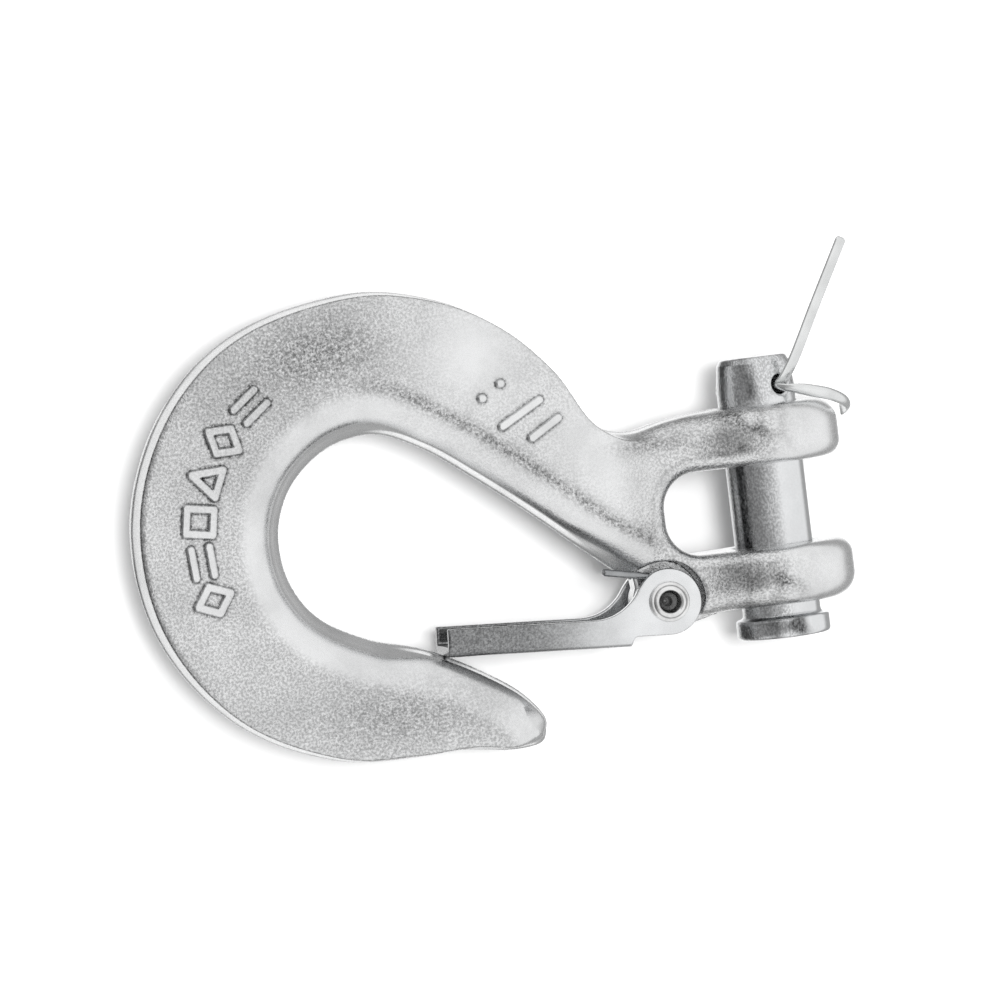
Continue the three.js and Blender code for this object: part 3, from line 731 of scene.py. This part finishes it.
def pin_zones(points):
    """coarse: the left half, with the right half smoother. The second zone: painted shade on the left half
    between the ears with a painted dark reflection along its left edge, a painted shade stripe on the pin's
    end and a darker blotch on the head."""
    x, y, z = points.T
    smooth_right = smooth(-0.4, 0.9, x) * smooth(13.5, 12.5, y)
    # painted shade on the left half between the ears, a painted dark reflection along the pin's left edge
    # there, and a painted shade stripe on the pin's end
    painted_shade = 0.22 * (1 - smooth_right) * (np.abs(y) < 12)
    left_edge_reflection = smooth(12.3, 11.6, np.abs(y)) * smooth(-4.25, -3.95, x) * smooth(-3.0, -3.6, x)
    end_shade_stripe = 0.8 * smooth(12.6, 13.2, y) * bump(x, -1.9, 0.75) * (0.7 + 0.8 * waves_mid(2 * x, y, z))
    on_head = smooth(HEAD_IN + 0.3, HEAD_IN - 0.3, y)
    blotch = on_head * bump(x, -0.6, 2.6) * (0.55 + 0.9 * waves_mid(1.5 * x, 2 * y, z))
    return {"coarse": 1 - 0.9 * smooth_right, "shade_and_stain": np.clip(blotch + end_shade_stripe + left_edge_reflection + painted_shade, 0, 1)}


pin_points, pin_faces, pin_normals = surface(
    pin_field, (-6.2, -16.7, -6.2), (6.2, 18.4, 6.2), 0.26, pin_detail, cuts=1)
add_piece("pin_turned", pin_points, pin_faces, bar, "pin", ["clevis_pin"], pin_normals,
          pin_zones(pin_points))


# ---------------------------------------------------------------- swept wire
def spaced(line, step):
    """The line with points about step apart, and its length."""
    d = np.concatenate([[0], np.cumsum(np.linalg.norm(np.diff(line, axis=0), axis=1))])
    at = np.linspace(0, d[-1], max(int(d[-1] / step), 4) + 1)
    return np.stack([np.interp(at, d, line[:, i]) for i in range(3)], 1), d[-1]


def tube_faces(rings, count):
    """Faces of rings of count points each, closed at both ends by the two points that follow them."""
    first, last, end = rings * count, rings * count + 1, (rings - 1) * count
    sides = [(j, (j + 1) % count) for j in range(count)]
    faces = [(i + j, i + k, i + count + k, i + count + j) for i in range(0, end, count) for j, k in sides]
    faces += [(k, j, first) for j, k in sides]
    return faces + [(end + j, end + k, last) for j, k in sides]


def facing_out(points, faces):
    """The faces, turned if their normals point inwards."""
    volume = 0
    for f in faces:
        for b, c in zip(f[1:], f[2:]):
            volume += points[f[0]] @ np.cross(points[b], points[c])
    return faces if volume > 0 else [tuple(reversed(f)) for f in faces]


def sweep(line, section, side, step, end_round, twist_from=1.0, twist_side=(0, 0, 0)):
    """Sweeps a section, a list of (along side, along out) points, with its ends rounded off. From the share
    twist_from of the length on, the section turns to twist_side."""
    p, length = spaced(np.array(line), step)
    t = np.gradient(p, axis=0)
    t /= np.linalg.norm(t, axis=1)[:, None]
    section = np.array(section)
    side = np.array(side, float)
    rings, at = [], np.linspace(0, length, len(p))
    for i, (c, d) in enumerate(zip(p, t)):
        if at[i] > twist_from * length:
            side = side + 0.12 * np.array(twist_side)
        side = side - (side @ d) * d
        side /= np.linalg.norm(side)
        out = np.cross(side, d)
        near = min(at[i], length - at[i], end_round) / end_round
        k = 0.55 + 0.45 * math.sqrt(max(1 - (1 - near) ** 2, 0))
        rings.append(c + k * (section[:, :1] * side + section[:, 1:] * out))
    points = np.vstack(rings + [p[:1], p[-1:]])
    return points, facing_out(points, tube_faces(len(rings), len(section)))


# ---------------------------------------------------------------- cotter pin
WIRE_DEEP, WIRE_WIDE, WIRE_CORNER = 0.76, 1.5, 0.14  # half-round wire
LEG_AT = WIRE_DEEP / 2 + 0.05  # from the middle of the hole to the middle of each leg
EYE_AT, COTTER_EYE_R = -5.85, 0.85  # the eye's middle along the hole, and its radius


def unit(v):
    return v / np.linalg.norm(v)


outward = np.array([math.sin(HOLE_TURN), 0, math.cos(HOLE_TURN)])
long_leg = unit(np.array([0.46, 0.88, 0.12]))
leg_side = unit(np.cross(long_leg, outward))
spread = np.cross(outward, leg_side)


def on_cotter(out, aside):
    """A point in the cotter's own plane: out along the hole and aside from its middle."""
    return np.array([0, HOLE_Y, 0]) + outward * out + spread * aside


def cotter_line():
    """From the tip of the long leg through the hole, round the eye, back and down over the ear."""
    leg_start = on_cotter(5.2, LEG_AT) + long_leg
    eye = on_arc((EYE_AT, 0, COTTER_EYE_R), *range(-50, -311, -26))
    return catmull([
        *[leg_start + long_leg * k for k in (17.6, 9.0, 0.8)],
        *[on_cotter(k, LEG_AT) for k in (4.5, 1.5, -2.0, -4.6)],
        *[on_cotter(out, -aside) for out, aside in eye],
        *[on_cotter(k, -LEG_AT) for k in (-4.6, -2.0, 1.5, 4.4)],
        (3.4, 13.55, 5.2), (5.5, 13.05, 5.2), (8.0, 12.45, 4.5), (10.0, 11.6, 2.9), (11.0, 10.9, 0.8),
        (11.2, 10.4, -1.2), (11.0, 10.1, -2.6),
    ], 20)


half_round = [(WIRE_WIDE / 2 * math.cos(a), WIRE_DEEP * math.sin(a) - WIRE_DEEP / 2)
              for a in np.radians(np.linspace(8, 172, 15))]
half_round += [(x, -WIRE_DEEP / 2) for x in (WIRE_CORNER - WIRE_WIDE / 2, 0, WIRE_WIDE / 2 - WIRE_CORNER)]
p, f = sweep(cotter_line(), half_round, leg_side, 0.22, 0.35, 0.76, (0, -1, 0.1))
add_piece("cotter_wire", p, f, wire_zinc, "pin", ["cotter_pin"])


# ---------------------------------------------------------------- latch
# in the latch's own frame: pivot at the origin, +X along the latch, -Y towards its web
CHEEK_IN, SHEET = 4.2, 1.2
CHEEK_OUT = CHEEK_IN + SHEET
LATCH_EAR_R, LATCH_BORE_R, LATCH_LENGTH = 4.0, 1.85, 27.0
WEB_AT, WEB_FROM, BEND_R = 5.2, 4.6, 1.5  # the web's outside, its end by the pivot, and its bends
CHEEK_DEPTH = 3.4
PINCH = 0.0011  # how fast the cheeks draw in towards the free end
LATCH_TILT = math.radians(3.95)
BEYOND = -8  # the outline is closed past the web

rim = CHEEK_DEPTH - WEB_AT
ear_end = on_arc((0, 0, LATCH_EAR_R), 62)[0]
cheek_outline = np.vstack([
    [(LATCH_LENGTH, BEYOND), (LATCH_LENGTH, rim)], bow((9.4, rim), (6.0, rim), (4.1, 0.9)),
    bow((4.1, 0.9), (3.2, 2.6), ear_end)[1:], arc(0, 0, LATCH_EAR_R, 62, 270, 48)[1:],
    bow((WEB_FROM - 0.7, -LATCH_EAR_R), (WEB_FROM, -LATCH_EAR_R), (WEB_FROM, -WEB_AT)), [(WEB_FROM, BEYOND)],
])
plan_cheek = Table(lambda p: outline_distance(p, cheek_outline), (-5.5, -9), (29, 6), 0.1)
dents = ripple(21, 4.0, 16)


def latch_field(x, y, z):
    """A channel bent from sheet: a web below and a cheek each side, cut to the cheeks' outline."""
    h = np.abs(z) + PINCH * np.maximum(x - 5, 0) ** 2
    outer = round_both(-WEB_AT - y, h - CHEEK_OUT, BEND_R)
    inner = round_both(-(WEB_AT - SHEET) - y, h - CHEEK_IN, 0.35)
    inner = np.minimum(inner, np.maximum(h - CHEEK_IN, x - WEB_FROM))
    channel = np.maximum(outer, -inner) + 0.018 * dents(x, y, z)
    latch = round_both(channel, plan_cheek(x, y), 0.22)
    return np.maximum(latch, LATCH_BORE_R - np.hypot(x, y))


def from_latch(v):
    """Turns vectors from the latch's frame to the hook's. It mirrors them, so faces turn over."""
    x, y = -v[:, 0], v[:, 1]
    c, s = math.cos(LATCH_TILT), math.sin(LATCH_TILT)
    return np.stack([x * c + y * s, -x * s + y * c, v[:, 2]], 1)


pivot = np.array([*RIVET, 0])
latch_points, latch_faces, latch_normals = surface(
    latch_field, (-4.6, -5.9, -5.9), (27.6, 4.6, 5.9), 0.19, reach=0.03)
along = latch_points[:, 0]
# the second zone paints shade on the latch, deepening towards its free end
add_piece("latch_pressed", from_latch(latch_points) + pivot, [tuple(reversed(q)) for q in latch_faces], sheet,
          "latch", ["safety_latch"], from_latch(latch_normals),
          {"coarse": 0.15 + 0.85 * smooth(8, 17, along), "shade_and_stain": 0.95 * smooth(2.5, 19, along)})


# ---------------------------------------------------------------- rivet
def turned(profile, count):
    """A closed solid of revolution about Z from (radius, height) points that start and end on the axis."""
    a = np.linspace(0, 2 * math.pi, count, endpoint=False)
    rings = [np.stack([r * np.cos(a), r * np.sin(a), np.full(count, h)], 1) for r, h in profile[1:-1]]
    points = np.vstack(rings + [[(0, 0, profile[0][1])], [(0, 0, profile[-1][1])]])
    return points, facing_out(points, tube_faces(len(rings), count))


TOP = CHEEK_OUT + 0.04  # just clear of the cheeks
rivet_profile = [
    (0, -TOP - 1.0), (0.8, -TOP - 0.99), *arc(2.3, -TOP - 0.25, 0.72, 265, 350, 9), (3.0, -TOP - 0.05),
    (2.95, -TOP), (1.8, -TOP), (1.8, TOP), (2.2, TOP),
    *arc(2.13, TOP + 0.3, 0.32, -70, 95, 9), (2.03, TOP + 0.56), (1.97, TOP + 0.58),
    *arc(1.66, TOP + 0.52, 0.32, 40, 165, 9), (1.3, TOP + 0.38), (1.24, TOP + 0.1), (1.18, TOP - 0.5),
    (1.0, TOP - 0.95), (0.62, TOP - 1.1), (0.55, TOP - 1.25), (0.53, TOP - 3.0), (0, TOP - 3.2),
]
p, f = turned(rivet_profile, 96)
hammered = ripple(31, 1.3, 18)
rolled = p[:, 2] > TOP + 0.05
p[rolled, 2] += 0.05 * (hammered(*p[rolled].T) - 0.6)
from_axis = np.hypot(p[:, 0], p[:, 1])
# painted shade in the rivet's bore and a painted dark ring in the roll's groove
bore_and_groove_shade = 0.7 * smooth(1.32, 1.1, from_axis) + 0.75 * bump(from_axis, 1.97, 0.07)  # bore, and the roll's groove
add_piece("rivet_rolled", p + pivot, f, rivet_zinc, "latch", ["latch_rivet"],
          zones={"coarse": np.ones(len(p)), "shade_and_stain": np.clip(bore_and_groove_shade * (p[:, 2] > 0), 0, 1)})


# ---------------------------------------------------------------- spring
# round the pivot: a coil at each end of the lug, each with a free leg on the shank, joined by a loop that
# reaches along the latch
WIRE_R, COIL_R, COIL_OUT, COIL_IN = 0.43, 2.75, 3.62, 2.38  # wire and coil radii, and each coil's two ends
LOOP_LEG, LOOP_FROM = 9.0, math.radians(-90)
LAST_TURN = math.radians(56)  # the stretch of coil that lies flat at its inner end
FREE_END = np.array([-7.3, 4.4])
free_from = math.atan2(FREE_END[1], FREE_END[0]) - math.acos(COIL_R / np.linalg.norm(FREE_END))
turn = free_from - LOOP_FROM + 2 * math.pi


def on_coil(a, z):
    return np.array([COIL_R * math.cos(a), COIL_R * math.sin(a), z])


def coil_line(short):
    """Free leg and coil of the upper half; short trims the free leg."""
    start = on_coil(free_from, COIL_OUT)
    end = start + (np.array([*FREE_END, COIL_OUT]) - start) * (1 - short)
    line = [end + (start - end) * k for k in np.linspace(0, 1, 8, endpoint=False)]
    for a in np.linspace(0, turn, 140):
        line.append(on_coil(free_from - a, COIL_OUT + (COIL_IN - COIL_OUT) * min(a / (turn - LAST_TURN), 1)))
    return np.array(line)


def wire_ring(r, n=14):
    return [(r * math.cos(a), r * math.sin(a)) for a in np.linspace(0, 2 * math.pi, n, endpoint=False)]


coils = [sweep(coil_line(short) * (1, 1, flip), wire_ring(WIRE_R), (0, 0, 1), 0.2, 0.25)
         for flip, short in ((1, 0.0), (-1, 0.16))]
(p, f), (p_far, f_far) = coils
add_piece("spring_coils", np.vstack([p, p_far]) + pivot, f + [tuple(i + len(p) for i in q) for q in f_far],
          spring_steel, "hook", ["latch_spring"])

loop_way = np.array([math.sin(LOOP_FROM), -math.cos(LOOP_FROM), 0])
loop_start = on_coil(LOOP_FROM, COIL_IN)
half_loop = [on_coil(LOOP_FROM + LAST_TURN * 0.95 * (1 - k), COIL_IN) for k in np.linspace(0, 1, 24)]
half_loop += [loop_start + loop_way * LOOP_LEG * k for k in (0.25, 0.5, 0.75, 1)]
half_loop.append(loop_start + loop_way * (LOOP_LEG + 0.9) - np.array([0, 0, 1.1]))
loop = catmull(np.array(half_loop + [q * (1, 1, -1) for q in reversed(half_loop)]), 6)
p, f = sweep(loop, wire_ring(WIRE_R - 0.015), (0, 0, 1), 0.2, 0.25)
add_piece("spring_legs", p + pivot, f, spring_steel, "latch", ["latch_spring"])


# ---------------------------------------------------------------- table
def pale_floor(half, drop):
    """A pale matt table, drop metres below the part, that the metal doesn't mirror."""
    m = bpy.data.materials.new("pale_floor")
    m.use_nodes = True
    shader = m.node_tree.nodes["Principled BSDF"]
    shader.inputs["Base Color"].default_value = (0.93, 0.93, 0.93, 1)
    shader.inputs["Roughness"].default_value = 0.9
    shader.inputs["Specular IOR Level"].default_value = 0.1
    mesh = bpy.data.meshes.new("floor")
    corners = [(-half, -half, 0), (half, -half, 0), (half, half, 0), (-half, half, 0)]
    mesh.from_pydata(corners, [], [(0, 1, 2, 3)])
    mesh.materials.append(m)
    floor = bpy.data.objects.new("floor", mesh)
    bpy.context.scene.collection.objects.link(floor)
    floor.location.z = -drop
    floor.visible_glossy = False


pale_floor(1.2, 0.0002)


# ---------------------------------------------------------------- light
def studio():
    """The room that the metal mirrors: bright in front, behind and to the right and dim to the left, dark
    below table height but for the right side and a patch straight below."""
    world = bpy.data.worlds.new("studio")
    bpy.context.scene.world = world
    world.use_nodes = True
    graph = Graph(world.node_tree)
    direction = graph.nodes.new("ShaderNodeSeparateXYZ")
    graph.link(graph.nodes.new("ShaderNodeTexCoord").outputs["Generated"], direction.inputs[0])
    x, y, z = direction.outputs
    aside = graph.math("MULTIPLY_ADD", graph.math("ABSOLUTE", y), 0.9, x)
    height = graph.math("MULTIPLY_ADD", x, 0.15, z)
    dome = graph.ramp_between(
        aside, -1.4, 1.4, (-1.1, 0.22), (-0.75, 0.30), (-0.45, 0.42), (-0.18, 0.58), (0.04, 0.84),
        (0.18, 0.98), (0.40, 0.97), (1.3, 0.9))
    above = graph.ramp_between(height, -0.8, 0.5, (-0.36, 0.0), (-0.10, 1.0))
    patch_below = graph.ramp_between(z, -1.0, 0.0, (-0.93, 0.95), (-0.82, 0.04))
    right_below = graph.ramp_between(aside, -1.4, 1.4, (-0.4, 0.04), (0.4, 0.36))
    below = graph.math("SUBTRACT", 1.0, above)
    upper = graph.math("MULTIPLY", dome, above)
    lower = graph.math("MULTIPLY", graph.math("ADD", patch_below, right_below), below)
    background = graph.nodes["Background"]
    graph.link(graph.math("ADD", upper, lower), background.inputs["Color"])
    background.inputs["Strength"].default_value = 1.0


def softbox(name, direction, distance, size, power):
    """A square light aimed at the origin, which lights the table and isn't mirrored."""
    light = bpy.data.lights.new(name, "AREA")
    light.shape = "RECTANGLE"
    light.size = light.size_y = size
    light.energy = power
    box = bpy.data.objects.new(name, light)
    bpy.context.scene.collection.objects.link(box)
    way = Vector(direction).normalized()
    box.location = way * distance
    box.rotation_euler = way.to_track_quat("Z", "Y").to_euler()
    box.visible_glossy = False


studio()
softbox("top_box", (0.03, 0.05, 1), 1.5, 0.47, 18)

# ---------------------------------------------------------------- camera
# the photo's view: the camera leans a little towards the bowl and turns the shank clockwise
LEAN_X, LEAN_Y, TURN = math.radians(-10), math.radians(2), math.radians(6.9)
VIEW_WIDTH, VIEW_FAR, SENSOR = 0.1205, 0.70, 36
AIM = np.array([-32.9, 4.5, 0])

across = Vector((math.cos(LEAN_X), 0, -math.sin(LEAN_X)))
upward = Vector((0, math.cos(LEAN_Y), -math.sin(LEAN_Y)))
right = (math.cos(TURN) * across - math.sin(TURN) * upward).normalized()
towards = right.cross(math.sin(TURN) * across + math.cos(TURN) * upward).normalized()
up = towards.cross(right)
camera_data = bpy.data.cameras.new("camera")
camera_data.sensor_width = SENSOR
camera_data.lens = SENSOR * VIEW_FAR / VIEW_WIDTH
camera_data.clip_start = 0.01
camera = bpy.data.objects.new("camera", camera_data)
bpy.context.scene.collection.objects.link(camera)
place = Matrix.Translation(Vector((AIM + ORIGIN) * MM) + towards * VIEW_FAR)
camera.matrix_world = place @ Matrix((right, up, towards)).transposed().to_4x4()
bpy.context.scene.camera = camera
bpy.context.scene.view_settings.view_transform = "Standard"
